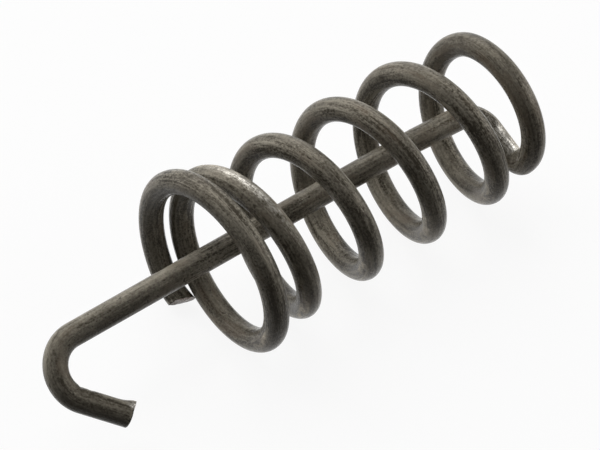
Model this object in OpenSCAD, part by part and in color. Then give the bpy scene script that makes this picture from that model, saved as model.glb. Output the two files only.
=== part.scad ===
// Brake shoe hold-down spring: one length of round steel wire, bent into an
// open coil, a crosspiece, a straight shank back through the coil and a hook.
// The bends are set out with the shank along X, from the hook to the closed
// end. The finished spring then lies on its side on the plane Z = 0.

/* [Wire] */
// Diameter of the wire
wire_d = 2.0; // [1.8:0.05:2.1]
// Flats around the bent part of the wire
wire_sides = 16; // [12:2:18]

/* [Coil] */
// Turns from the free end to the rim bend
coil_turns = 5.76; // [5.74:0.01:5.78]
// Angle of the free end about the shank
start_angle = -140.5; // [-146:0.5:-135]
// Mean radius of the wide first turn
front_r = 7.9; // [7.7:0.1:8.4]
// Mean radius of the open turns
body_r = 6.2; // [6.0:0.1:6.4]
// Mean radius at the closed end
rear_r = 5.3; // [5.1:0.1:5.7]
// Turns over which the first turn narrows to the open ones
front_over = 2.15; // [1.8:0.05:2.5]
// Turn at which the closed end starts to narrow
rear_from = 4.0; // [4.0:0.1:5.0]
// Shift of the free end along the shank, towards the next turn
end_shift = 0.35; // [0:0.05:0.4]
// Turns over which that shift fades out
end_over = 0.06; // [0.04:0.01:0.1]

/* [Pitch] */
// Pitch of the close-wound first turn
front_pitch = 2.06; // [2.06:0.02:2.6]
// Pitch of the open turns, half way along
body_pitch = 6.45; // [6.0:0.05:7.0]
// Growth of the pitch with each open turn
pitch_gain = 0.11; // [0:0.01:0.2]
// Pitch of the last half turn
rear_pitch = 0.4; // [0.2:0.1:1.0]
// Turn at which the coil starts to open
open_from = 0.75; // [0.65:0.05:0.9]
// Turns over which it opens
open_over = 1.0; // [0.8:0.05:1.4]
// Turn at which the coil starts to close again
close_from = 5.24; // [5.1:0.01:5.3]
// Turns over which it closes
close_over = 0.12; // [0.10:0.01:0.30]

/* [Coil centre beside the shank] */
// Offset of the coil's centre along Y at the free end
off_y = -0.3; // [-0.6:0.05:0]
// Offset of the coil's centre along Z
off_z = 1.05; // [0.6:0.05:1.2]
// Drift of the centre along Y by the closed end
lean_y = 0.45; // [0:0.05:0.8]
// Bow of the coil along Y at its middle
bow_y = -0.1; // [-0.3:0.05:0.1]
// Bow of the coil along Z at its middle
bow_z = -0.3; // [-0.5:0.05:0.1]

/* [Crosspiece] */
// Centre-line radius of the sharp rim bend
rim_r = 1.2; // [1.15:0.05:1.5]
// Place along the shank of the corner where the crosspiece meets it
corner_x = 28.45; // [28.2:0.05:28.7]
// Offset of that corner along Y
corner_y = -0.45; // [-0.7:0.05:-0.2]
// Offset of that corner along Z
corner_z = -0.1; // [-0.3:0.05:0.1]
// Centre-line radius of that corner
corner_r = 2.25; // [2.0:0.05:2.4]
// Place along the shank where it starts to rise to the corner
kink_x = 22; // [20:0.1:23]
// Centre-line radius of that slight bend
kink_r = 6.5; // [5:0.5:10]

/* [Hook] */
// Start of the hook bend along the shank, from the free end
hook_x = -12.2; // [-14:0.1:-10]
// Direction in which the hook turns, about the shank
hook_roll = 139; // [130:0.5:150]
// Angle through which the hook is bent
hook_bend = 135.5; // [125:0.5:145]
// Centre-line radius of the hook
hook_r = 2.75; // [2.4:0.05:3.2]
// Length of the hook's straight tip
tip_len = 4.15; // [3.8:0.05:5]

/* [Rest] */
// Turn about the shank that lays the spring on its side
rest_roll = 78.6; // [70:0.1:90]
// Tilt of the shank in that place
rest_tilt = 2.2; // [1.5:0.1:3.5]

/* [Hidden] */

wire_r = wire_d / 2;
// A swept ring with this circumradius has the round wire's own section area.
ring_r = wire_r * sqrt(2 * PI / (wire_sides * sin(360 / wire_sides)));
// Where the swept wire meets a round piece it thins by this ratio over the taper,
// the round piece starts at the seam, and the swept wire ends at the bury. The rings
// after the taper are inside the round piece.
joint_ratio = 0.99;
joint_taper = 0.4;
joint_seam = 0.6;
joint_bury = 1.0;
buried_rings = 2;
// The open turn at which the pitch is body_pitch.
middle_turn = 3;
// The part of a turn from which the coil's heading at its end is taken.
end_step = 0.001;
steps_per_turn = 32;
rim_steps = 8;
corner_steps = 10;
kink_steps = 4;
hook_steps = 24;
round_fn = 96;
steel = [0.33, 0.31, 0.28];

// Vectors, and an easing from 0 to 1.
function unit(v) = v / norm(v);
function last(list) = list[len(list) - 1];
function blend(t) = let (u = max(0, min(1, t))) u * u * (3 - 2 * u);

// Radius, pitch and centre of the coil at turn t.
function turn_r(t) = body_r
    + (front_r - body_r) * pow(max(0, 1 - t / front_over), 2)
    + (rear_r - body_r) * pow(max(0, (t - rear_from) / (coil_turns - rear_from)), 2);
function open_pitch(t) = body_pitch + pitch_gain * (t - middle_turn);
function turn_pitch(t) = front_pitch
    + (open_pitch(t) - front_pitch) * blend((t - open_from) / open_over)
    + (rear_pitch - open_pitch(t)) * blend((t - close_from) / close_over);
function bow(t) = 4 * t / coil_turns * (1 - t / coil_turns);
function turn_point(t, x) = [
    x + end_shift * pow(max(0, 1 - t / end_over), 2),
    off_y + lean_y * t / coil_turns + bow_y * bow(t) + turn_r(t) * cos(start_angle + 360 * t),
    off_z + bow_z * bow(t) + turn_r(t) * sin(start_angle + 360 * t)
];

// The coil's centre line. X grows by the mean pitch of each step.
coil_steps = ceil(coil_turns * steps_per_turn);
dt = coil_turns / coil_steps;
coil_line = [
    for (i = 0, x = 0; i <= coil_steps; x = x + turn_pitch((i + 0.5) * dt) * dt, i = i + 1)
        turn_point(i * dt, x)
];

// Points of a bend of radius r that leaves a along h and ends when it faces c.
function bend_towards(a, h, c, r, steps) = let (
    ahead = (c - a) * h,
    side = unit(c - a - ahead * h),
    across = (c - a) * side - r,
    turned = atan2(across, ahead) + asin(r / norm([ahead, across]))
) [
    for (i = [1:steps]) let (t = turned * i / steps)
        a + r * sin(t) * h + r * (1 - cos(t)) * side
];

// Points of an arc of radius r that rounds the corner v between a and b.
function rounded(a, v, b, r, steps) = let (
    to_a = unit(a - v),
    to_b = unit(b - v),
    half = acos(to_a * to_b) / 2,
    centre = v + unit(to_a + to_b) * r / sin(half),
    start = v + to_a * r / tan(half),
    out = unit(start - centre)
) [
    for (i = [0:steps]) let (a = (180 - 2 * half) * i / steps)
        centre + r * (cos(a) * out - sin(a) * to_a)
];

// The rim bend, the corner at the end of the crosspiece and the shank's slight bend.
coil_end = last(coil_line);
just_before = turn_point(coil_turns - end_step, coil_end.x - rear_pitch * end_step);
coil_heading = unit(coil_end - just_before);
corner = [corner_x, corner_y, corner_z];
kink = [kink_x, 0, 0];
hook_start = [hook_x, 0, 0];
rim_line = bend_towards(coil_end, coil_heading, corner, rim_r, rim_steps);
corner_line = rounded(last(rim_line), corner, kink, corner_r, corner_steps);
kink_line = rounded(last(corner_line), kink, hook_start, kink_r, kink_steps);
shank_x = last(kink_line).x;
bent_line = concat(
    coil_line, rim_line, corner_line, kink_line,
    [[shank_x - joint_taper, 0, 0], [shank_x - joint_bury, 0, 0]]
);

// The hook's bend and its straight tip.
hook_out = [0, cos(hook_roll), sin(hook_roll)];
function hook_point(a) = hook_start + hook_r * ((1 - cos(a)) * hook_out - [sin(a), 0, 0]);
function hook_heading(a) = sin(a) * hook_out - [cos(a), 0, 0];
tip_root = hook_point(hook_bend);
tip_heading = hook_heading(hook_bend);
tip_end = tip_root + tip_len * tip_heading;
hook_line = concat(
    [[hook_x + joint_bury, 0, 0], [hook_x + joint_taper, 0, 0]],
    [for (i = [0:hook_steps]) hook_point(hook_bend * i / hook_steps)],
    [tip_root + joint_taper * tip_heading, tip_root + joint_bury * tip_heading]
);

// Headings along a line, and a side direction carried along it without twist.
function chord(line, i) = let (k = max(0, min(len(line) - 2, i))) unit(line[k + 1] - line[k]);
function heading(line, i) = unit(chord(line, i - 1) + chord(line, i));
function square_to(v, h) = unit(v - (v * h) * h);
function sides(line, first) = [
    for (i = 0, s = square_to(first, heading(line, 0)); i < len(line);
         i = i + 1, s = square_to(s, heading(line, min(i, len(line) - 1))))
        s
];
// Rings of the swept wire. Those inside a round piece are thinner: the last ones, and the
// first ones too where start_buried is true.
function rings(line, first, start_buried) = let (all_sides = sides(line, first), n = len(line)) [
    for (i = [0:n - 1]) let (
        s = all_sides[i],
        t = cross(heading(line, i), s),
        buried = i >= n - buried_rings || (start_buried && i < buried_rings),
        r = buried ? wire_r * joint_ratio : ring_r
    ) [for (k = [0:wire_sides - 1]) let (a = 360 * k / wire_sides) line[i] + r * (cos(a) * s + sin(a) * t)]
];
bent_rings = rings(bent_line, [1, 0, 0], false);
hook_rings = rings(hook_line, [0, 0, 1], true);

// The spring turned onto its side, and its extents there.
function rolled(p) = [
    p.x,
    p.y * cos(rest_roll) - p.z * sin(rest_roll),
    p.y * sin(rest_roll) + p.z * cos(rest_roll)
];
function tilted(p) = [
    p.x * cos(rest_tilt) + p.z * sin(rest_tilt),
    p.y,
    p.z * cos(rest_tilt) - p.x * sin(rest_tilt)
];
function laid(p) = tilted(rolled(p));
laid_skin = [for (ring = concat(bent_rings, hook_rings), p = ring) laid(p)];
laid_tip = laid(tip_end);
// Reach of the tip's flat end across its heading, along one axis.
function tip_reach(axis) = wire_r * sqrt(1 - pow(laid(tip_heading)[axis], 2));
function low(axis) = min(min([for (p = laid_skin) p[axis]]), laid_tip[axis] - tip_reach(axis));
function high(axis) = max(max([for (p = laid_skin) p[axis]]), laid_tip[axis] + tip_reach(axis));
rest_shift = [-(low(0) + high(0)) / 2, -(low(1) + high(1)) / 2, -low(2)];

// A wire swept through rings, with a flat face at each end.
module swept(wire_rings) {
    count = len(wire_rings);
    walls = [
        for (i = [0:count - 2], k = [0:wire_sides - 1]) let (
            a = i * wire_sides + k,
            b = i * wire_sides + (k + 1) % wire_sides,
            c = b + wire_sides,
            d = a + wire_sides
        ) each [[a, c, b], [a, d, c]]
    ];
    first_face = [for (k = [0:wire_sides - 1]) k];
    last_face = [for (k = [wire_sides - 1:-1:0]) (count - 1) * wire_sides + k];
    polyhedron([for (ring = wire_rings, p = ring) p], concat(walls, [first_face, last_face]));
}

// Round straight wire between two places.
module round_wire(a, b) {
    along = b - a;
    translate(a)
        rotate([0, acos(along.z / norm(along)), atan2(along.y, along.x)])
            cylinder(h = norm(along), r = wire_r, $fn = round_fn);
}

// Coil, rim bend, crosspiece and the shank's slight bend.
module bent_wire() {
    color(steel) swept(bent_rings);
}

// Straight shank back through the coil.
module shank() {
    color(steel) round_wire([hook_x + joint_seam, 0, 0], [shank_x - joint_seam, 0, 0]);
}

// Hook bend and its straight tip.
module hook() {
    color(steel) {
        swept(hook_rings);
        round_wire(tip_root + joint_seam * tip_heading, tip_end);
    }
}

module brake_shoe_spring() {
    translate(rest_shift) rotate([0, rest_tilt, 0]) rotate([rest_roll, 0, 0]) {
        bent_wire();
        shank();
        hook();
    }
}

brake_shoe_spring();
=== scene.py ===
"""A brake shoe hold-down spring, bent from one steel wire, lying on a pale studio floor.

The classes hold the spring's sizes in millimetres, in the order in which a wire former
makes it: coil, crosspiece, shank and hook. The meshes are in metres, in the part's frame.
"""

import logging
import math
from dataclasses import dataclass, field, fields
from enum import Enum
from typing import Any

import bpy
import numpy as np
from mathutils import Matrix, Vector


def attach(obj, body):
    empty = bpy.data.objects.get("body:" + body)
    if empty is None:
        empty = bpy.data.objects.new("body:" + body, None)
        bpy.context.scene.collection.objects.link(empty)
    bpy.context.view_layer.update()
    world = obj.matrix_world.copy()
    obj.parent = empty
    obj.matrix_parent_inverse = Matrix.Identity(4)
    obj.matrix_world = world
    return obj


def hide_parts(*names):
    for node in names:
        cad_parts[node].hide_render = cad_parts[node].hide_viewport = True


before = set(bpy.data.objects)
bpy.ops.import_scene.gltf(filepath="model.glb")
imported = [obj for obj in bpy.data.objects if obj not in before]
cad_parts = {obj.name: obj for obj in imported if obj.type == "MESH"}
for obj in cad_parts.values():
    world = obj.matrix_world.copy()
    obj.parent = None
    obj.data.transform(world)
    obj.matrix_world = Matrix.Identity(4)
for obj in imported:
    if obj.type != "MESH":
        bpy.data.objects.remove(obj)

logging.basicConfig(level=logging.INFO, format="%(message)s")
log = logging.getLogger("spring")

MM = 0.001
NODE = "brake_shoe_spring"
BODY = "root"

Colour = tuple[float, float, float, float]
Triple = tuple[float, float, float]
Span = tuple[float, float]
Socket = bpy.types.NodeSocket
Noises = dict[str, Socket]

WHITE: Colour = (1.0, 1.0, 1.0, 1.0)


class Stretch(Enum):
    """The stretches of the wire, from the coil's free end to the hook's tip."""

    COIL = "coil"
    RIM = "rim bend"
    CROSSPIECE = "crosspiece"
    CORNER = "corner"
    RISE = "rise"
    SHANK = "shank"
    HOOK = "hook bend"
    TIP = "tip"


Pieces = list[tuple[Stretch, np.ndarray]]


def unit(v: np.ndarray) -> np.ndarray:
    """Returns v, or each row of v, at length 1."""
    return v / np.linalg.norm(v, axis=-1, keepdims=True)


def eased(t: np.ndarray) -> np.ndarray:
    """Returns t limited to 0 and 1 and eased at both ends."""
    t = np.clip(t, 0.0, 1.0)
    return t * t * (3.0 - 2.0 * t)


def arched(share: np.ndarray) -> np.ndarray:
    """Returns a low arch: 0 where share is 0 or 1, and 1 half way between."""
    return 4.0 * share * (1.0 - share)


def hump(x: np.ndarray, middle: float, reach: float) -> np.ndarray:
    """Returns a smooth hump of height 1 at middle that fades out over reach."""
    return np.exp(-(((x - middle) / reach) ** 2))


def straight(a: np.ndarray, b: np.ndarray, step: float) -> np.ndarray:
    """Points along a straight stretch.

    Args:
        a: Where it starts.
        b: Where it ends.
        step: Greatest distance between points.

    Returns:
        The points after a, up to and with b.
    """
    count = max(1, math.ceil(float(np.linalg.norm(b - a)) / step))
    return a + (b - a) * (np.arange(1, count + 1) / count)[:, None]


def bend_towards(a: np.ndarray, h: np.ndarray, c: np.ndarray, r: float, steps: int) -> np.ndarray:
    """Points of a bend that leaves a place along a heading and ends when it faces another.

    Args:
        a: Where the bend starts.
        h: Heading there, of length 1.
        c: The place that the end of the bend faces.
        r: Centre-line radius of the bend.
        steps: Number of points.

    Returns:
        The points after a.
    """
    ahead = float((c - a) @ h)
    side = unit(c - a - ahead * h)
    across = float((c - a) @ side) - r
    turned = math.atan2(across, ahead) + math.asin(r / math.hypot(ahead, across))
    t = (turned * np.arange(1, steps + 1) / steps)[:, None]
    return a + r * np.sin(t) * h + r * (1.0 - np.cos(t)) * side


def rounded(a: np.ndarray, v: np.ndarray, b: np.ndarray, r: float, steps: int) -> np.ndarray:
    """Points of an arc that rounds a corner.

    Args:
        a: A place before the corner.
        v: The corner.
        b: A place after it.
        r: Centre-line radius of the arc.
        steps: Number of steps along the arc.

    Returns:
        The points of the arc, with its two ends.
    """
    to_a, to_b = unit(a - v), unit(b - v)
    half = math.acos(float(to_a @ to_b)) / 2.0
    centre = v + unit(to_a + to_b) * r / math.sin(half)
    out = unit(v + to_a * r / math.tan(half) - centre)
    t = (math.pi - 2.0 * half) * (np.arange(steps + 1) / steps)[:, None]
    return centre + r * (np.cos(t) * out - np.sin(t) * to_a)


@dataclass
class Coil:
    """The wound part: a wide close-wound first turn, open turns and a narrower last half turn."""

    turns: float = 5.76
    start_angle: float = -140.5
    front_r: float = 7.9
    body_r: float = 6.2
    rear_r: float = 5.3
    front_over: float = 2.15
    rear_from: float = 4.0
    front_pitch: float = 2.06
    body_pitch: float = 6.45
    pitch_gain: float = 0.11
    middle_turn: float = 3.0
    rear_pitch: float = 0.4
    open_from: float = 0.75
    open_over: float = 1.0
    close_from: float = 5.24
    close_over: float = 0.12
    end_shift: float = 0.35
    end_over: float = 0.06
    off_y: float = -0.3
    off_z: float = 1.05
    lean_y: float = 0.45
    bow_y: float = -0.1
    bow_z: float = -0.3
    steps_per_turn: int = 128
    look_back: float = 0.001

    def radius(self, t: np.ndarray) -> np.ndarray:
        """Returns the mean radius at turn t."""
        front = (self.front_r - self.body_r) * np.maximum(0.0, 1.0 - t / self.front_over) ** 2
        late = np.maximum(0.0, (t - self.rear_from) / (self.turns - self.rear_from))
        return self.body_r + front + (self.rear_r - self.body_r) * late**2

    def pitch(self, t: np.ndarray) -> np.ndarray:
        """Returns the pitch at turn t."""
        mid = self.body_pitch + self.pitch_gain * (t - self.middle_turn)
        opened = (mid - self.front_pitch) * eased((t - self.open_from) / self.open_over)
        closed = (self.rear_pitch - mid) * eased((t - self.close_from) / self.close_over)
        return self.front_pitch + opened + closed

    def place(self, t: np.ndarray, x: np.ndarray) -> np.ndarray:
        """Places on the centre line.

        Args:
            t: Turns from the free end.
            x: Distance along the shank at each of them.

        Returns:
            One point for each turn value.
        """
        share = t / self.turns
        bow = arched(share)
        angle = math.radians(self.start_angle) + 2.0 * math.pi * t
        shifted = x + self.end_shift * np.maximum(0.0, 1.0 - t / self.end_over) ** 2
        y = self.off_y + self.lean_y * share + self.bow_y * bow + self.radius(t) * np.cos(angle)
        z = self.off_z + self.bow_z * bow + self.radius(t) * np.sin(angle)
        return np.stack([shifted, y, z], axis=1)

    def line(self) -> np.ndarray:
        """Returns the centre line's points, from the free end to the rim bend."""
        count = math.ceil(self.turns * self.steps_per_turn)
        t = np.linspace(0.0, self.turns, count + 1)
        steps = self.pitch((t[1:] + t[:-1]) / 2.0) * self.turns / count
        return self.place(t, np.concatenate([[0.0], np.cumsum(steps)]))

    def end_heading(self, line: np.ndarray) -> np.ndarray:
        """Returns the heading at the end of the coil's line."""
        t = np.array([self.turns - self.look_back])
        x = np.array([line[-1, 0] - self.rear_pitch * self.look_back])
        return unit(line[-1] - self.place(t, x)[0])


@dataclass
class Crosspiece:
    """The sharp rim bend, the short piece to the middle and the slight bend into the shank."""

    rim_r: float = 1.2
    corner: Triple = (28.45, -0.45, -0.1)
    corner_r: float = 2.25
    kink_x: float = 22.0
    kink_r: float = 6.5
    rim_steps: int = 20
    corner_steps: int = 24
    kink_steps: int = 4

    def pieces(self, start: np.ndarray, heading: np.ndarray, shank_end: np.ndarray, step: float) -> Pieces:
        """The stretches from the coil to the end of the shank.

        Args:
            start: Where the coil ends.
            heading: Direction of the wire there.
            shank_end: Where the shank ends and the hook begins.
            step: Greatest distance between points on a straight stretch.

        Returns:
            Each stretch and its points, which carry on from the stretch before.
        """
        corner = np.array(self.corner)
        kink = np.array([self.kink_x, 0.0, 0.0])
        rim = bend_towards(start, heading, corner, self.rim_r, self.rim_steps)
        turn = rounded(rim[-1], corner, kink, self.corner_r, self.corner_steps)
        bend = rounded(turn[-1], kink, shank_end, self.kink_r, self.kink_steps)
        return [
            (Stretch.RIM, rim),
            (Stretch.CROSSPIECE, straight(rim[-1], turn[0], step)[:-1]),
            (Stretch.CORNER, turn),
            (Stretch.RISE, np.concatenate([straight(turn[-1], bend[0], step)[:-1], bend])),
            (Stretch.SHANK, straight(bend[-1], shank_end, step)),
        ]


@dataclass
class Hook:
    """The straight shank's far end: a bend of more than a right angle and a short tip."""

    start_x: float = -12.2
    roll: float = 139.0
    bend: float = 135.5
    radius: float = 2.75
    tip: float = 4.15
    steps: int = 40

    def start(self) -> np.ndarray:
        """Returns where the hook begins, on the shank."""
        return np.array([self.start_x, 0.0, 0.0])

    def pieces(self, step: float) -> Pieces:
        """Returns the bend and the tip with their points, which carry on from the shank."""
        roll = math.radians(self.roll)
        out = np.array([0.0, math.cos(roll), math.sin(roll)])
        back = np.array([-1.0, 0.0, 0.0])
        a = (math.radians(self.bend) * np.arange(1, self.steps + 1) / self.steps)[:, None]
        bend = self.start() + self.radius * ((1.0 - np.cos(a)) * out + np.sin(a) * back)
        last = a[-1, 0]
        heading = math.sin(last) * out + math.cos(last) * back
        return [(Stretch.HOOK, bend), (Stretch.TIP, straight(bend[-1], bend[-1] + self.tip * heading, step))]


@dataclass
class Rest:
    """How the spring lies on its side: the free end, the second turn and a rear turn touch.

    Where it would come closer than give to the room it has, it is worn smoothly flatter.
    """

    roll: float = 78.6
    tilt: float = 2.2
    room: Triple = (46.09, 16.52, 16.036)
    give: float = 0.05

    def turned(self, points: np.ndarray) -> np.ndarray:
        """Returns points of the upright spring turned as the lying one is."""
        roll, tilt = math.radians(self.roll), math.radians(self.tilt)
        x, y, z = points[:, 0], points[:, 1], points[:, 2]
        y, z = y * math.cos(roll) - z * math.sin(roll), y * math.sin(roll) + z * math.cos(roll)
        x, z = x * math.cos(tilt) + z * math.sin(tilt), z * math.cos(tilt) - x * math.sin(tilt)
        return np.stack([x, y, z], axis=1)

    def laid(self, points: np.ndarray) -> np.ndarray:
        """Returns the spring's skin turned, centred over the origin and resting on the floor."""
        skin = self.turned(points)
        skin = skin - (skin.min(axis=0) + skin.max(axis=0)) / 2.0
        edge = np.array(self.room) / 2.0 - self.give
        over = np.maximum(0.0, np.abs(skin) - edge)
        skin = np.sign(skin) * (np.abs(skin) - over + self.give * (1.0 - np.exp(-over / self.give)))
        return skin - np.array([0.0, 0.0, skin[:, 2].min()])


@dataclass(frozen=True)
class Section:
    """The wire's section at one of its ends: the directions across, up and out, and its radius all round."""

    place: np.ndarray
    across: np.ndarray
    up: np.ndarray
    out: np.ndarray
    reach: np.ndarray

    def at(self, across: np.ndarray, up: np.ndarray, out: np.ndarray) -> np.ndarray:
        """Returns places by how far they lie across, up and out of the section."""
        flat = self.place + across[:, None] * self.across + up[:, None] * self.up
        return flat + out[:, None] * self.out


@dataclass(frozen=True)
class CutEnd:
    """A sheared end of the wire: a slanted face, one edge rolled over and a lip on the other.

    The torn grain of the face is made of waves that run across it and fade out at its edge.
    """

    slant: float
    roll: float
    roll_over: float = 0.10
    roll_reach: float = 0.12
    lip: float = 0.06
    lip_reach: float = 0.08
    lip_sharpness: int = 3
    grain: float = 0.05
    grain_edge: float = 0.25
    waves: int = 14
    wave_rate: float = 5.0
    wave_start: float = 6.3
    rings: int = 9

    def grain_waves(self, seed: int) -> list[Triple]:
        """Returns how fast each wave runs across and up the face, and where it starts."""
        rng = np.random.default_rng(seed + int(self.slant))
        rate, start = self.wave_rate, self.wave_start
        return [(rng.normal(0, rate), rng.normal(0, rate), rng.uniform(0, start)) for _ in range(self.waves)]

    def face(self, section: Section, angle: np.ndarray, seed: int) -> tuple[np.ndarray, np.ndarray]:
        """The rings of the cut face, from its rim inwards.

        Args:
            section: The wire's section where it is cut.
            angle: The angles round it.
            seed: Start of the random draws.

        Returns:
            The points of each ring, and how far each lies inwards, from 0 to 1.
        """
        waves = self.grain_waves(seed)
        slope = math.tan(math.radians(self.slant))
        lean = np.cos(angle - math.radians(self.roll))
        low, high = 0.5 - 0.5 * lean, np.maximum(0.0, lean) ** self.lip_sharpness
        rings, inward = [], []
        for k in range(self.rings + 1):
            share = 1.0 - k / self.rings
            inside = 1.0 - share
            r = section.reach * share
            across, up = r * np.cos(angle), r * np.sin(angle)
            out = slope * r * lean
            out = out - self.roll_over * math.exp(-inside / self.roll_reach) * low
            out = out + self.lip * math.exp(-inside / self.lip_reach) * high
            rough = sum(np.sin(a * across + b * up + c) for a, b, c in waves) / len(waves)
            out = out + self.grain * rough * min(1.0, inside / self.grain_edge)
            rings.append(section.at(across, up, out))
            inward.append(np.full(len(angle), inside))
        return np.array(rings), np.array(inward)


@dataclass(frozen=True)
class Pattern:
    """A noise over the wire: features per millimetre along and across, octaves and how rough they are."""

    scale: Triple
    detail: float
    rough: float


class Tree:
    """The node tree of a material or world, with short calls to add nodes and join them.

    A Mix node has sockets for several kinds of value, and those for colours have fixed numbers.
    """

    COLOUR_A = 6
    COLOUR_B = 7
    COLOUR_OUT = 2

    def __init__(self, owner: Any) -> None:
        """Empties the owner's node tree."""
        owner.use_nodes = True
        self.owner = owner
        self.nodes = owner.node_tree.nodes
        self.links = owner.node_tree.links
        self.nodes.clear()

    def add(self, kind: str, inputs: dict[Any, Any] | None = None, **settings: Any) -> bpy.types.Node:
        """Adds a node.

        Args:
            kind: Its Blender type.
            inputs: Values or output sockets for its inputs, by name or number.
            **settings: Its own properties.

        Returns:
            The node.
        """
        node = self.nodes.new(kind)
        for key, value in settings.items():
            setattr(node, key, value)
        for key, value in (inputs or {}).items():
            if isinstance(value, Socket):
                self.links.new(value, node.inputs[key])
            else:
                node.inputs[key].default_value = value
        return node

    def math(self, operation: str, a: Any, b: Any = 0.0, clamp: bool = False) -> Socket:
        """Returns the result of a Math node on a and b."""
        return self.add("ShaderNodeMath", {0: a, 1: b}, operation=operation, use_clamp=clamp).outputs[0]

    def mix(self, factor: Any, a: Any, b: Any) -> Socket:
        """Returns the colour between a and b at that factor."""
        inputs = {0: factor, self.COLOUR_A: a, self.COLOUR_B: b}
        return self.add("ShaderNodeMix", inputs, data_type="RGBA").outputs[self.COLOUR_OUT]

    def sway(self, start: Any, pattern: Socket, gain: Any) -> Socket:
        """Returns start changed by a pattern about its middle, gain times as strong."""
        swing = self.math("SUBTRACT", pattern, 0.5)
        return self.add("ShaderNodeMath", {0: swing, 1: gain, 2: start}, operation="MULTIPLY_ADD").outputs[0]

    def seen(self) -> Socket:
        """Returns 1 for rays that the camera sees straight, mirrored or through glass, and 0 for others."""
        path = self.add("ShaderNodeLightPath").outputs
        mirrored = self.math("MAXIMUM", path["Is Camera Ray"], path["Is Glossy Ray"])
        return self.math("MAXIMUM", mirrored, path["Is Transmission Ray"])

    def ramp(self, value: Socket, span: Span) -> Socket:
        """Returns value spread so that the span's first end gives 0 and its second 1, eased and limited."""
        inputs = {"Value": value, "From Min": span[0], "From Max": span[1]}
        return self.add("ShaderNodeMapRange", inputs, interpolation_type="SMOOTHSTEP").outputs[0]

    def noise(self, place: Socket, pattern: Pattern) -> Socket:
        """Returns a pattern's noise over a place, about 0.5 on average."""
        scaled = self.add("ShaderNodeMapping", {"Vector": place, "Scale": pattern.scale}).outputs[0]
        inputs = {"Vector": scaled, "Scale": 1.0, "Detail": pattern.detail, "Roughness": pattern.rough}
        return self.add("ShaderNodeTexNoise", inputs).outputs[0]


@dataclass(frozen=True)
class Grain:
    """The patterns over the wire's skin: drawing lines and streaks, stains, grit, pits and scratches."""

    lines: Pattern = Pattern((0.35, 4.6, 4.6), 3.0, 0.6)
    streaks: Pattern = Pattern((0.08, 2.0, 2.0), 2.0, 0.5)
    patches: Pattern = Pattern((0.25, 0.8, 0.8), 3.0, 0.55)
    blotches: Pattern = Pattern((1.3, 1.9, 1.9), 3.0, 0.6)
    grit: Pattern = Pattern((5.0, 6.5, 6.5), 2.0, 0.6)
    pits: Pattern = Pattern((2.0, 3.4, 3.4), 2.0, 0.5)
    zones: Pattern = Pattern((0.10, 0.45, 0.45), 2.0, 0.5)
    scratches: Pattern = Pattern((0.35, 7.5, 7.5), 1.0, 0.5)
    # The gleams are painted highlights: thin light streaks along the wire
    gleams: Pattern = Pattern((0.12, 8.0, 8.0), 1.0, 0.5)

    def over(self, tree: Tree, place: Socket) -> Noises:
        """Returns the noise of each pattern over a place, by the pattern's name."""
        return {item.name: tree.noise(place, getattr(self, item.name)) for item in fields(self)}


@dataclass(frozen=True)
class OilFilm:
    """The drawn and oiled skin: how light it is, and how strongly each pattern shows in it.

    A pattern's gain of two numbers is for plain skin and for what the strongly drawn zones add.
    """

    dark: Colour = (0.050, 0.043, 0.031, 1.0)
    light: Colour = (0.305, 0.279, 0.226, 1.0)
    brown: Colour = (0.135, 0.100, 0.069, 1.0)
    shade: float = 0.48
    drawn_at: Span = (0.42, 0.66)
    lines: Span = (0.5, 2.8)
    grit: Span = (1.25, 1.6)
    streaks: float = 1.6
    blotches: float = 0.8
    patches: float = 1.2
    gleams_at: Span = (0.68, 0.76)
    gleams: float = 0.4
    brown_at: Span = (0.50, 0.70)
    brownness: float = 0.5
    scratches_at: Span = (0.35, 0.27)
    scratches: float = 0.75
    pits_at: Span = (0.66, 0.71)
    pits: float = 0.8

    def colour(self, tree: Tree, noise: Noises) -> tuple[Socket, Socket]:
        """The skin before it is worn.

        Args:
            tree: The material's tree.
            noise: The patterns over the wire, by name.

        Returns:
            The skin's colour, and where it is scratched or pitted.
        """
        drawn = tree.ramp(noise["zones"], self.drawn_at)
        line_gain = tree.math("ADD", self.lines[0], tree.math("MULTIPLY", drawn, self.lines[1]))
        grit_gain = tree.math("ADD", self.grit[0], tree.math("MULTIPLY", drawn, self.grit[1]))
        shade = tree.sway(self.shade, noise["lines"], line_gain)
        shade = tree.sway(shade, noise["streaks"], self.streaks)
        shade = tree.sway(shade, noise["blotches"], self.blotches)
        shade = tree.sway(shade, noise["grit"], grit_gain)
        shade = tree.sway(shade, noise["patches"], self.patches)
        # Painted highlights: the gleams lighten the skin in thin streaks along the wire
        gleam = tree.math("MULTIPLY", tree.ramp(noise["gleams"], self.gleams_at), self.gleams)
        colour = tree.mix(tree.math("ADD", shade, gleam, clamp=True), self.dark, self.light)
        brownish = tree.math("MULTIPLY", tree.ramp(noise["patches"], self.brown_at), self.brownness)
        colour = tree.mix(brownish, colour, self.brown)
        scratch = tree.math("MULTIPLY", tree.ramp(noise["scratches"], self.scratches_at), drawn)
        pit = tree.math("MULTIPLY", tree.ramp(noise["pits"], self.pits_at), self.pits)
        marks = tree.math("MAXIMUM", tree.math("MULTIPLY", scratch, self.scratches), pit)
        return tree.mix(marks, colour, self.dark), marks


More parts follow.
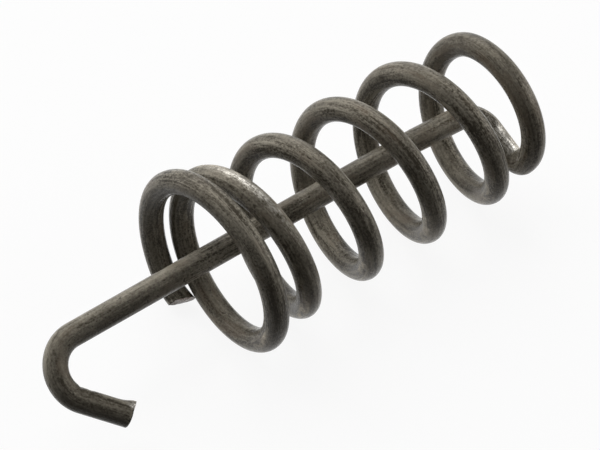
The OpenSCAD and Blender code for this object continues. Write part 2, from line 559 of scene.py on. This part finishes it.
@dataclass(frozen=True)
class RubsAndPaintedLight:
    """Bare bright steel where the wire is rubbed and where highlights and underside light are painted, and
    painted shade where the attribute is below 0.
    """

    bright: Colour = (0.56, 0.54, 0.50, 1.0)
    grit: float = 0.8
    lines: float = 0.7
    blotches: float = 0.9
    shows_at: Span = (0.15, 1.1)
    starts_at: Span = (0.02, 0.3)
    metal: float = 0.9
    roughness: float = 0.15
    painted_shade: float = 0.9

    def amount(self, tree: Tree, noise: Noises, wear_and_painted_light: Socket) -> Socket:
        """Returns how bright each place is made by rubbing and by painted highlights and underside light,
        where the attribute is above 0.
        """
        rubbed_and_painted_light = tree.sway(wear_and_painted_light, noise["grit"], self.grit)
        rubbed_and_painted_light = tree.sway(rubbed_and_painted_light, noise["lines"], self.lines)
        rubbed_and_painted_light = tree.sway(rubbed_and_painted_light, noise["blotches"], self.blotches)
        return tree.math("MULTIPLY", tree.ramp(rubbed_and_painted_light, self.shows_at), tree.ramp(wear_and_painted_light, self.starts_at))


@dataclass(frozen=True)
class DrawnSteel:
    """Dark oiled spring wire: bright where it is rubbed and torn and where highlights and underside light
    are painted, darkened by painted shade in a crease and two dents, and pinkish where it is cut.
    """

    grain: Grain = Grain()
    film: OilFilm = OilFilm()
    rubs_and_painted_light: RubsAndPaintedLight = RubsAndPaintedLight()
    cut: Colour = (0.40, 0.29, 0.25, 1.0)
    torn_at: Span = (0.38, 0.62)
    sheen: Colour = (1.0, 0.86, 0.66, 1.0)
    gloss: float = 0.12
    roughness: float = 0.19
    unevenness: float = 0.2
    relief: float = 0.08
    relief_strength: float = 0.8
    mark_depth: float = 0.35
    line_height: float = 1.0
    grit_height: float = 0.5

    def normal(self, tree: Tree, noise: Noises, marks: Socket) -> Socket:
        """Returns the normal over the fine relief of lines, grit, scratches and pits."""
        height = tree.sway(tree.math("MULTIPLY", marks, -self.mark_depth), noise["lines"], self.line_height)
        height = tree.sway(height, noise["grit"], self.grit_height)
        inputs = {"Strength": self.relief_strength, "Distance": self.relief * MM, "Height": height}
        return tree.add("ShaderNodeBump", inputs).outputs[0]

    def material(self) -> bpy.types.Material:
        """Returns the wire's material."""
        tree = Tree(bpy.data.materials.new("drawn_steel"))
        place = tree.add("ShaderNodeAttribute", attribute_name="wire_place").outputs["Vector"]
        wear_and_painted_light = tree.add("ShaderNodeAttribute", attribute_name="wear_and_painted_light").outputs["Fac"]
        sheared = tree.add("ShaderNodeAttribute", attribute_name="sheared").outputs["Fac"]
        noise = self.grain.over(tree, place)
        colour, marks = self.film.colour(tree, noise)
        # Painted shade: where the attribute is below 0 the colour darkens towards the film's dark colour,
        # for shade in a crease and in dents
        painted_shade = tree.math("MULTIPLY", wear_and_painted_light, -self.rubs_and_painted_light.painted_shade, clamp=True)
        colour = tree.mix(painted_shade, colour, self.film.dark)
        # Rubbed steel and painted light: above 0 the colour turns to bright metal, for real rubs and for
        # painted highlights and underside light
        rubbed_and_painted_light = self.rubs_and_painted_light.amount(tree, noise, wear_and_painted_light)
        colour = tree.mix(rubbed_and_painted_light, colour, self.rubs_and_painted_light.bright)
        torn = tree.mix(tree.ramp(noise["grit"], self.torn_at), self.film.dark, self.cut)
        rough = tree.sway(self.roughness, noise["patches"], self.unevenness)
        shader = tree.add(
            "ShaderNodeBsdfPrincipled",
            {
                "Base Color": tree.mix(sheared, colour, torn),
                "Metallic": tree.math("MULTIPLY", rubbed_and_painted_light, self.rubs_and_painted_light.metal),
                "Roughness": tree.math("ADD", rough, tree.math("MULTIPLY", rubbed_and_painted_light, self.rubs_and_painted_light.roughness)),
                "Specular IOR Level": self.gloss,
                "Specular Tint": self.sheen,
                "Normal": self.normal(tree, noise, marks),
            },
        )
        tree.add("ShaderNodeOutputMaterial", {"Surface": shader.outputs[0]})
        return tree.owner


@dataclass(frozen=True)
class Mark:
    """A mark on the wire's skin, strongest at one place and fading out along and round the wire.

    It is placed by the distance along its stretch and by the angle round the wire in radians.
    """

    strength: float
    stretch: Stretch
    along: float
    length: float
    angle: float
    width: float

    def over(self, run: np.ndarray, angle: np.ndarray, starts: dict[Stretch, float]) -> np.ndarray:
        """Returns the mark's strength over the skin."""
        middle = starts[self.stretch] + self.along
        aside = (angle - self.angle + math.pi) % (2.0 * math.pi) - math.pi
        return self.strength * hump(run, middle, self.length) * hump(aside, 0.0, self.width)


# Rubbed places, painted highlights and painted underside light are above 0, and painted shade is below
# Rubbed steel and a painted highlight: a bright band along the second turn's upper edge
SECOND_TURN_BAND = Mark(0.75, Stretch.COIL, along=61.5, length=5.2, angle=1.85, width=0.50)
# Painted light: the turns' undersides lightened as if lit from below
PAINTED_UNDERSIDE_LIGHT = (
    Mark(0.38, Stretch.COIL, along=34.0, length=3.2, angle=3.35, width=0.60),
    Mark(0.38, Stretch.COIL, along=75.0, length=3.2, angle=3.45, width=0.60),
    Mark(0.38, Stretch.COIL, along=114.2, length=3.2, angle=4.85, width=0.60),
    Mark(0.38, Stretch.COIL, along=153.7, length=3.2, angle=5.80, width=0.60),
    Mark(0.38, Stretch.COIL, along=193.2, length=3.2, angle=0.50, width=0.60),
)
# Painted highlight: a thin light line on the wire just before the rim bend
RIM_PAINTED_HIGHLIGHT = Mark(0.70, Stretch.RIM, along=-1.26, length=0.9, angle=1.68, width=0.22)
# Painted shade: darkening in the crease inside the rim bend
RIM_PAINTED_SHADE = Mark(-1.00, Stretch.RIM, along=0.84, length=0.4, angle=2.50, width=0.60)
CROSSPIECE_EDGE = Mark(0.35, Stretch.CROSSPIECE, along=-0.1, length=0.45, angle=2.90, width=0.80)
CROSSPIECE_SCUFF = Mark(0.66, Stretch.CROSSPIECE, along=1.2, length=2.4, angle=3.10, width=1.25)
# Painted shade: darkening in the hook's dent
HOOK_PAINTED_SHADE = Mark(-1.00, Stretch.HOOK, along=5.83, length=0.26, angle=2.15, width=0.30)
# Painted shade: darkening in the tip's dent
TIP_PAINTED_SHADE = Mark(-0.90, Stretch.TIP, along=0.30, length=0.16, angle=2.00, width=0.24)
TIP_RUB = Mark(0.90, Stretch.TIP, along=3.85, length=0.60, angle=2.00, width=0.45)
WEAR_AND_PAINTED_LIGHT = (
    SECOND_TURN_BAND,
    *PAINTED_UNDERSIDE_LIGHT,
    RIM_PAINTED_HIGHLIGHT,
    RIM_PAINTED_SHADE,
    CROSSPIECE_EDGE,
    CROSSPIECE_SCUFF,
    HOOK_PAINTED_SHADE,
    TIP_PAINTED_SHADE,
    TIP_RUB,
)

# Dents are below 0 and the burr stands above it, in millimetres
HOOK_DENT = Mark(-0.12, Stretch.HOOK, along=5.75, length=0.20, angle=1.60, width=0.30)
TIP_DENT = Mark(-0.08, Stretch.TIP, along=0.30, length=0.14, angle=1.50, width=0.20)
BURR = Mark(0.20, Stretch.TIP, along=3.85, length=0.60, angle=1.45, width=0.42)
DENTS_AND_BURR = (HOOK_DENT, TIP_DENT, BURR)


@dataclass
class Skin:
    """The wire's skin, ring by ring, from the middle of one cut face to the middle of the other.

    Each ring has its points, their place along and across the wire, their wear with the painted
    light and shade, and whether they lie on a cut face.
    """

    rings: np.ndarray
    place: np.ndarray
    worn_and_painted_light: np.ndarray
    sheared: np.ndarray

    @staticmethod
    def closed(front: np.ndarray, middle: np.ndarray, back: np.ndarray) -> np.ndarray:
        """Returns the rings of both cut faces, listed from their rims inwards, and of the wire between."""
        return np.concatenate([front[::-1], middle[1:-1], back])

    @staticmethod
    def by_vertex(values: np.ndarray) -> np.ndarray:
        """Returns values in the order of the mesh's points: ring by ring, then the two middles."""
        return np.concatenate([values[1:-1].reshape(-1, *values.shape[2:]), values[[0, -1], 0]])

    def faces(self) -> list[tuple[int, ...]]:
        """Returns the faces between the rings and round the two middles."""
        count, sides = len(self.rings) - 2, self.rings.shape[1]
        faces: list[tuple[int, ...]] = []
        for i in range(count - 1):
            for k in range(sides):
                a, b = i * sides + k, i * sides + (k + 1) % sides
                faces.append((a, b, b + sides, a + sides))
        start, end = count * sides, count * sides + 1
        last = (count - 1) * sides
        for k in range(sides):
            faces.append((start, (k + 1) % sides, k))
            faces.append((end, last + k, last + (k + 1) % sides))
        return faces

    def mesh(self, name: str, rest: Rest) -> bpy.types.Mesh:
        """Returns the closed smooth mesh of the skin at rest, with its places, its wear and its painted
        light and shade as attributes.
        """
        mesh = bpy.data.meshes.new(name)
        mesh.from_pydata((rest.laid(self.by_vertex(self.rings)) * MM).tolist(), [], self.faces())
        for attribute, values in (("wear_and_painted_light", self.worn_and_painted_light), ("sheared", self.sheared)):
            data = self.by_vertex(values).astype(np.float32)
            mesh.attributes.new(attribute, "FLOAT", "POINT").data.foreach_set("value", data)
        data = self.by_vertex(self.place).astype(np.float32).ravel()
        mesh.attributes.new("wire_place", "FLOAT_VECTOR", "POINT").data.foreach_set("vector", data)
        mesh.polygons.foreach_set("use_smooth", [True] * len(mesh.polygons))
        mesh.validate()
        mesh.update()
        return mesh


@dataclass
class BentWire:
    """The whole spring as one swept wire with its two cut ends.

    The radius allows for what the drawing flats take off the wire.
    """

    coil: Coil = field(default_factory=Coil)
    crosspiece: Crosspiece = field(default_factory=Crosspiece)
    hook: Hook = field(default_factory=Hook)
    rest: Rest = field(default_factory=Rest)
    finish: DrawnSteel = DrawnSteel()
    free_end: CutEnd = CutEnd(slant=25.0, roll=3.0, grain=0.16)
    tip_end: CutEnd = CutEnd(slant=19.0, roll=8.0)
    radius: float = 1.005
    sides: int = 56
    step: float = 0.2
    seed: int = 7
    flats: tuple[int, ...] = (3, 4, 5, 7, 9, 12, 16)
    flat_depth: float = 0.0022
    flat_drift: float = 0.02
    swell: float = 0.4
    swell_rate: Span = (0.05, 0.16)
    swell_start: float = 6.0
    face_from: float = 0.02
    starts: dict[Stretch, float] = field(default_factory=dict)
    length: float = 0.0

    def line(self) -> np.ndarray:
        """Returns the centre line, and notes where along the wire each stretch starts."""
        coil = self.coil.line()
        heading = self.coil.end_heading(coil)
        pieces: Pieces = [(Stretch.COIL, coil)]
        pieces += self.crosspiece.pieces(coil[-1], heading, self.hook.start(), self.step)
        pieces += self.hook.pieces(self.step)
        points = np.concatenate([piece for _, piece in pieces])
        run = self.run(points)
        self.length = float(run[-1])
        at = 0
        for name, piece in pieces:
            self.starts[name] = float(run[at])
            at += len(piece)
        return points

    @staticmethod
    def run(points: np.ndarray) -> np.ndarray:
        """Returns the distance along the line at each of its points."""
        return np.concatenate([[0.0], np.cumsum(np.linalg.norm(np.diff(points, axis=0), axis=1))])

    @staticmethod
    def frames(points: np.ndarray) -> tuple[np.ndarray, np.ndarray, np.ndarray]:
        """Headings and side directions along a line, carried on without twist.

        Args:
            points: The line.

        Returns:
            The headings, the first sides and the second sides.
        """
        chords = unit(np.diff(points, axis=0))
        heading = unit(np.concatenate([chords[:1], chords[1:] + chords[:-1], chords[-1:]]))
        first = np.zeros_like(points)
        side = np.array([1.0, 0.0, 0.0])
        for i, h in enumerate(heading):
            side = unit(side - (side @ h) * h)
            first[i] = side
        return heading, first, np.cross(heading, first)

    def reach(self, run: np.ndarray, angle: np.ndarray) -> np.ndarray:
        """The wire's radius over its skin, with drawing flats, the tool's dents and the burr at the tip.

        Args:
            run: Distance along the wire, one column.
            angle: Angle round the wire, one row.

        Returns:
            The radius at each place.
        """
        rng = np.random.default_rng(self.seed)
        relief = np.zeros((run.shape[0], angle.shape[1]))
        for count in self.flats:
            turn = rng.uniform(0.0, 2.0 * math.pi)
            drift = rng.normal(0.0, self.flat_drift)
            rate = rng.uniform(*self.swell_rate)
            start = rng.uniform(0.0, self.swell_start)
            swell = 1.0 - self.swell + self.swell * np.sin(run * rate + start)
            relief -= self.flat_depth * swell * (1.0 + np.cos(count * angle + turn + drift * run))
        for mark in DENTS_AND_BURR:
            relief += mark.over(run, angle, self.starts)
        return self.radius + relief

    def wear_and_painted_light(self, run: np.ndarray, angle: np.ndarray) -> np.ndarray:
        """Returns the skin's wear with painted light and shade, from 1 at rubbed bright steel and painted
        light to -1 at the darkest painted shade.
        """
        return np.clip(sum(mark.over(run, angle, self.starts) for mark in WEAR_AND_PAINTED_LIGHT), -1.0, 1.0)

    def skin(self) -> Skin:
        """Returns the wire's skin, swept along its line and closed by the two cut faces."""
        points = self.line()
        run = self.run(points)
        heading, first, second = self.frames(points)
        angle = 2.0 * math.pi * np.arange(self.sides) / self.sides
        around = np.stack([np.cos(angle), np.sin(angle)], axis=1)
        reach = self.reach(run[:, None], angle[None, :])
        wear_and_painted_light = self.wear_and_painted_light(run[:, None], angle[None, :])
        across = around[None, :, :1] * first[:, None, :] + around[None, :, 1:] * second[:, None, :]
        tube = points[:, None, :] + reach[..., None] * across
        start = Section(points[0], first[0], second[0], -heading[0], reach[0])
        end = Section(points[-1], first[-1], second[-1], heading[-1], reach[-1])
        front, front_in = self.free_end.face(start, angle, self.seed)
        back, back_in = self.tip_end.face(end, angle, self.seed)
        along = Skin.closed(np.full(len(front), run[0]), run, np.full(len(back), run[-1]))
        share = Skin.closed(1.0 - front_in, np.ones_like(reach), 1.0 - back_in)
        place = np.empty((*share.shape, 3))
        place[..., 0] = along[:, None]
        place[..., 1:] = self.radius * around[None] * share[..., None]
        return Skin(
            rings=Skin.closed(front, tube, back),
            place=place,
            worn_and_painted_light=Skin.closed(wear_and_painted_light[0] * (front_in == 0.0), wear_and_painted_light, wear_and_painted_light[-1] * (back_in == 0.0)),
            sheared=Skin.closed(front_in > self.face_from, np.zeros_like(reach), back_in > self.face_from),
        )

    def build(self) -> bpy.types.Object:
        """Makes the wire, dresses it and puts it in the solid's place."""
        mesh = self.skin().mesh("spring_wire", self.rest)
        mesh.materials.append(self.finish.material())
        piece = bpy.data.objects.new("spring_wire", mesh)
        bpy.context.scene.collection.objects.link(piece)
        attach(piece, BODY)
        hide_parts(NODE)
        log.info("%s: %d faces, %.1f mm of wire", piece.name, len(mesh.polygons), self.length)
        return piece


@dataclass
class Floor:
    """The pale floor: a light table that is lit under the coil and throws up little light elsewhere.

    The lit patch is an oval about its middle, with a soft edge given in shares of its reach.
    """

    size: float = 3.0
    colour: Colour = (0.96, 0.96, 0.96, 1.0)
    bounce: Colour = (0.05, 0.05, 0.05, 1.0)
    roughness: float = 0.9
    gloss: float = 0.1
    under: float = 0.9
    warm: Colour = (1.0, 0.98, 0.94, 1.0)
    middle: Triple = (0.005, -0.0035, 0.0)
    reach: Triple = (0.019, 0.0075, 1.0)
    edge: Span = (1.2, 0.7)
    evenness: float = 0.9

    def patch(self, tree: Tree) -> Socket:
        """Returns how strongly each place of the floor is lit from below."""
        place = tree.add("ShaderNodeTexCoord").outputs["Object"]
        offset = tree.add("ShaderNodeVectorMath", {0: place, 1: self.middle}, operation="SUBTRACT")
        share = tree.add("ShaderNodeVectorMath", {0: offset.outputs[0], 1: self.reach}, operation="DIVIDE")
        away = tree.add("ShaderNodeVectorMath", {0: share.outputs[0]}, operation="LENGTH").outputs["Value"]
        return tree.math("MULTIPLY", tree.ramp(away, self.edge), self.under)

    def paint(self) -> bpy.types.Material:
        """Returns the floor's material: pale paint under a faint even glow."""
        tree = Tree(bpy.data.materials.new("floor_paint"))
        seen = tree.seen()
        paint = tree.add(
            "ShaderNodeBsdfPrincipled",
            {
                "Base Color": tree.mix(seen, self.bounce, self.colour),
                "Roughness": self.roughness,
                "Specular IOR Level": self.gloss,
            },
        ).outputs[0]
        below = tree.add("ShaderNodeEmission", {"Color": self.warm, "Strength": self.patch(tree)}).outputs[0]
        table = tree.add("ShaderNodeAddShader", {0: paint, 1: below}).outputs[0]
        base = tree.add("ShaderNodeMixShader", {0: seen, 1: table, 2: paint}).outputs[0]
        even = tree.add("ShaderNodeEmission", {"Color": WHITE, "Strength": 1.0}).outputs[0]
        glow = tree.math("MULTIPLY", seen, self.evenness)
        surface = tree.add("ShaderNodeMixShader", {0: glow, 1: base, 2: even}).outputs[0]
        tree.add("ShaderNodeOutputMaterial", {"Surface": surface})
        return tree.owner

    def build(self) -> bpy.types.Object:
        """Makes the floor."""
        h = self.size / 2.0
        mesh = bpy.data.meshes.new("floor")
        mesh.from_pydata([(-h, -h, 0.0), (h, -h, 0.0), (h, h, 0.0), (-h, h, 0.0)], [], [(0, 1, 2, 3)])
        mesh.materials.append(self.paint())
        floor = bpy.data.objects.new("floor", mesh)
        bpy.context.scene.collection.objects.link(floor)
        log.info("floor: %.1f m square", self.size)
        return floor


@dataclass(frozen=True)
class Lamp:
    """A soft square lamp that faces the spring, with its place and size in metres."""

    name: str
    place: Triple
    size: float
    watts: float

    def build(self) -> bpy.types.Object:
        """Makes the lamp."""
        data = bpy.data.lights.new(self.name, "AREA")
        data.shape = "SQUARE"
        data.size = self.size
        data.energy = self.watts
        lamp = bpy.data.objects.new(self.name, data)
        lamp.location = self.place
        lamp.rotation_mode = "QUATERNION"
        lamp.rotation_quaternion = Vector(self.place).to_track_quat("Z", "Y")
        bpy.context.scene.collection.objects.link(lamp)
        log.info("%s: %.1f W", self.name, self.watts)
        return lamp


@dataclass
class Studio:
    """The floor, the lamps and the pale surroundings."""

    floor: Floor = field(default_factory=Floor)
    lamps: tuple[Lamp, ...] = (
        Lamp("key_lamp", place=(0.14, 0.62, 0.75), size=1.1, watts=11.4),
        Lamp("left_lamp", place=(-0.42, 0.72, 0.22), size=0.4, watts=2.0),
        Lamp("right_lamp", place=(0.77, -0.34, 0.20), size=0.4, watts=3.2),
    )
    fill: float = 0.01

    def surroundings(self) -> None:
        """Gives the world a soft fill that the camera and reflections see as white."""
        tree = Tree(bpy.data.worlds.new("studio"))
        inputs = {"Value": tree.seen(), "To Min": self.fill, "To Max": 1.0}
        level = tree.add("ShaderNodeMapRange", inputs).outputs[0]
        light = tree.add("ShaderNodeBackground", {"Color": WHITE, "Strength": level}).outputs[0]
        tree.add("ShaderNodeOutputWorld", {"Surface": light})
        bpy.context.scene.world = tree.owner

    def build(self) -> None:
        """Makes the floor, the lamps and the surroundings."""
        self.floor.build()
        for lamp in self.lamps:
            lamp.build()
        self.surroundings()
        bpy.context.scene.view_settings.view_transform = "Standard"


@dataclass
class Viewpoint:
    """The camera: a long lens from the hook's side, looking down on the spring."""

    place: Triple = (-113.147, -145.481, 215.031)
    turn: Triple = (41.6652, 0.2489, -38.7545)
    lens: float = 212.142
    sensor: float = 36.0
    near: float = 10.0
    far: float = 20000.0

    def build(self) -> bpy.types.Object:
        """Makes the camera and gives it to the scene."""
        data = bpy.data.cameras.new("camera")
        data.sensor_fit = "HORIZONTAL"
        data.sensor_width = self.sensor
        data.lens = self.lens
        data.clip_start = self.near * MM
        data.clip_end = self.far * MM
        camera = bpy.data.objects.new("camera", data)
        camera.location = [c * MM for c in self.place]
        camera.rotation_euler = [math.radians(a) for a in self.turn]
        bpy.context.scene.collection.objects.link(camera)
        bpy.context.scene.camera = camera
        log.info("camera: %.0f mm lens", self.lens)
        return camera


def main() -> None:
    """Builds the spring, the studio and the camera."""
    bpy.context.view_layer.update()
    BentWire().build()
    Studio().build()
    Viewpoint().build()
    log.info("boxes written")


if __name__ == "__main__":
    main()
